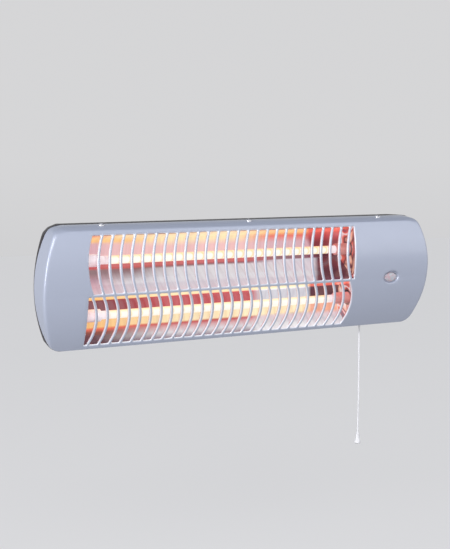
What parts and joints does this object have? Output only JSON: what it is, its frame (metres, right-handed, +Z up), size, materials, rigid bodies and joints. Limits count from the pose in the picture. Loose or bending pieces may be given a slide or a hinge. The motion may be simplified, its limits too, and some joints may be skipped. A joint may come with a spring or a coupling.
{
  "type": "electric bar heater",
  "caption": "Wall-hung electric bar heater with quartz tubes behind an S-ribbed silver cover, a pull-cord switch and a tilting wall bracket.",
  "frame": {"origin": "on the wall, midway between the two screw holes of the wall bracket", "axes": "+X along the heater to its right-hand end as seen from the room, +Y into the wall, +Z up"},
  "size_m": [0.539, 0.0978, 0.3149],
  "materials": {
    "cover_paint": "silver metallic paint, satin",
    "housing_plastic": "black, fine matt texture",
    "zinc_plate": "bright zinc plating",
    "screw_steel": "nickel plated",
    "reflector_sheet": "polished",
    "plate_sheet": "bright rolled",
    "quartz": "clear, lit from inside",
    "hot_wire": "glowing resistance wire",
    "ceramic": null,
    "spring_steel": "drawn wire",
    "brass": "tinned",
    "ivory_plastic": "moulded, matt",
    "white_plastic": "moulded, gloss",
    "cord_white": "braided",
    "lens_plastic": "translucent",
    "neon_glass": "clear",
    "black_plastic": "moulded, matt",
    "cutout_case": "matt",
    "wire_brown": "silicone sleeve",
    "wire_red": "silicone sleeve",
    "wire_blue": "silicone sleeve",
    "wire_green": "silicone sleeve"
  },
  "bodies": {
    "bracket": {"wall_bracket": "zinc_plate", "pivot_nuts": "zinc_plate"},
    "heater": {"tilt_lug_left": "zinc_plate", "tilt_lug_right": "zinc_plate", "lug_screws": "screw_steel", "rear_housing": "housing_plastic", "front_cover": "cover_paint", "cover_screws": "screw_steel", "reflector_upper": "reflector_sheet", "reflector_lower": "reflector_sheet", "reflector_end_left": "plate_sheet", "reflector_end_right": "plate_sheet", "frame_screws": "screw_steel", "quartz_tube_upper": "quartz", "quartz_tube_lower": "quartz", "heating_coil_upper": "hot_wire", "heating_coil_lower": "hot_wire", "end_cap_upper_left": "ceramic", "end_cap_upper_right": "ceramic", "end_cap_lower_left": "ceramic", "end_cap_lower_right": "ceramic", "cap_rings": "spring_steel", "tube_terminals": "brass", "thermal_cutout": "cutout_case", "switch_case": "ivory_plastic", "switch_screws": "screw_steel", "switch_terminals": "brass", "return_spring": "spring_steel", "wheel_axle": "spring_steel", "cord_bushing": "white_plastic", "indicator_lens": "lens_plastic", "neon_lamp": "neon_glass", "lamp_holder": "ivory_plastic", "terminal_block": "ivory_plastic", "terminal_screws": "brass", "cable_gland": "black_plastic", "wire_live": "wire_brown", "wire_switch": "wire_brown", "wire_upper": "wire_red", "wire_lower": "wire_red", "wire_neutral": "wire_blue", "wire_link": "wire_blue", "wire_earth": "wire_green"},
    "knob_left": {"tilt_knob_left": "black_plastic"},
    "knob_right": {"tilt_knob_right": "black_plastic"},
    "pull": {"switch_slider": "ivory_plastic", "pull_cord": "cord_white", "pull_knob": "white_plastic"},
    "ratchet": {"ratchet_wheel": "ivory_plastic"}
  },
  "joints": [
    {"name": "tilt", "type": "hinge", "parent": "bracket", "child": "heater", "pos_m": [0, -0.019, 0], "axis": [1, 0, 0], "range_deg": [0, 25]},
    {"name": "knob_left_turn", "type": "hinge", "parent": "bracket", "child": "knob_left", "pos_m": [-0.14, -0.019, 0], "axis": [-1, 0, 0], "range_deg": [0, 270]},
    {"name": "knob_right_turn", "type": "hinge", "parent": "bracket", "child": "knob_right", "pos_m": [0.14, -0.019, 0], "axis": [1, 0, 0], "range_deg": [0, 270]},
    {"name": "pull", "type": "slide", "parent": "heater", "child": "pull", "axis": [0, 0, -1], "range_m": [0, 0.01], "stiffness_N_per_m": 300, "deforming": ["return_spring"]},
    {"name": "ratchet", "type": "hinge", "parent": "heater", "child": "ratchet", "pos_m": [0.184, -0.0467, -0.0325], "axis": [0, 1, 0], "range_deg": [0, 55]}
  ],
  "couplings": [
    {"joint": "ratchet", "follows": "pull", "rad_per_m": 78.5}
  ]
}
